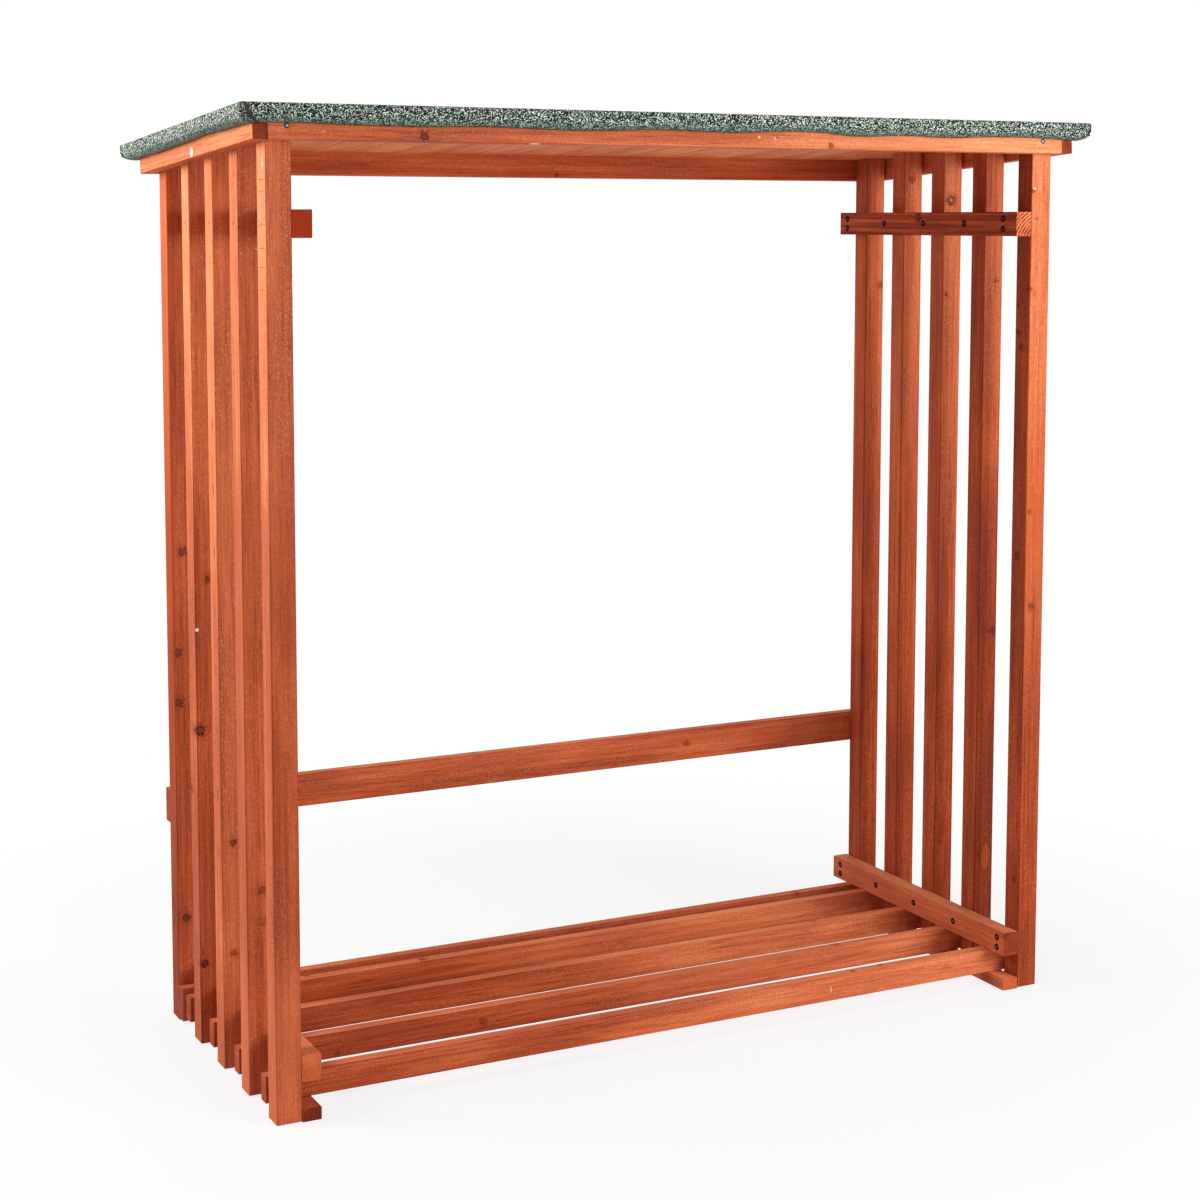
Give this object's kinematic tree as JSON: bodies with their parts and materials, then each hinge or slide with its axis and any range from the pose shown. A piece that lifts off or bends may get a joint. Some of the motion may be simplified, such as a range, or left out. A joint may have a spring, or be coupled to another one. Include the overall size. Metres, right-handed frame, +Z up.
{
  "type": "log store",
  "caption": "Open timber log store with slatted side walls, a slatted floor and a sloping felt roof, for stacking firewood off the ground.",
  "frame": {"origin": "on the ground, under the middle of the roof", "axes": "+X to the right along the open front, +Y to the back, +Z up"},
  "size_m": [1.704, 0.7268, 1.7136],
  "materials": {
    "stained_timber": "softwood with a red-brown wood stain, grain and knots showing through",
    "roofing_felt": "bitumen roofing felt with pale and green mineral granules",
    "zinc_fixings": "zinc-plated screws and felt nails"
  },
  "bodies": {
    "root": {"left_upright_1": "stained_timber", "left_upright_2": "stained_timber", "left_upright_3": "stained_timber", "left_upright_4": "stained_timber", "left_upright_5": "stained_timber", "right_upright_1": "stained_timber", "right_upright_2": "stained_timber", "right_upright_3": "stained_timber", "right_upright_4": "stained_timber", "right_upright_5": "stained_timber", "left_foot_runner": "stained_timber", "right_foot_runner": "stained_timber", "left_lower_side_rail": "stained_timber", "right_lower_side_rail": "stained_timber", "left_upper_side_rail": "stained_timber", "right_upper_side_rail": "stained_timber", "floor_rail_1": "stained_timber", "floor_rail_2": "stained_timber", "floor_rail_3": "stained_timber", "floor_rail_4": "stained_timber", "rear_floor_board": "stained_timber", "back_brace_board": "stained_timber", "front_fascia": "stained_timber", "back_fascia": "stained_timber", "left_fascia": "stained_timber", "right_fascia": "stained_timber", "roof_deck": "stained_timber", "roof_felt": "roofing_felt"}
  },
  "joints": []
}
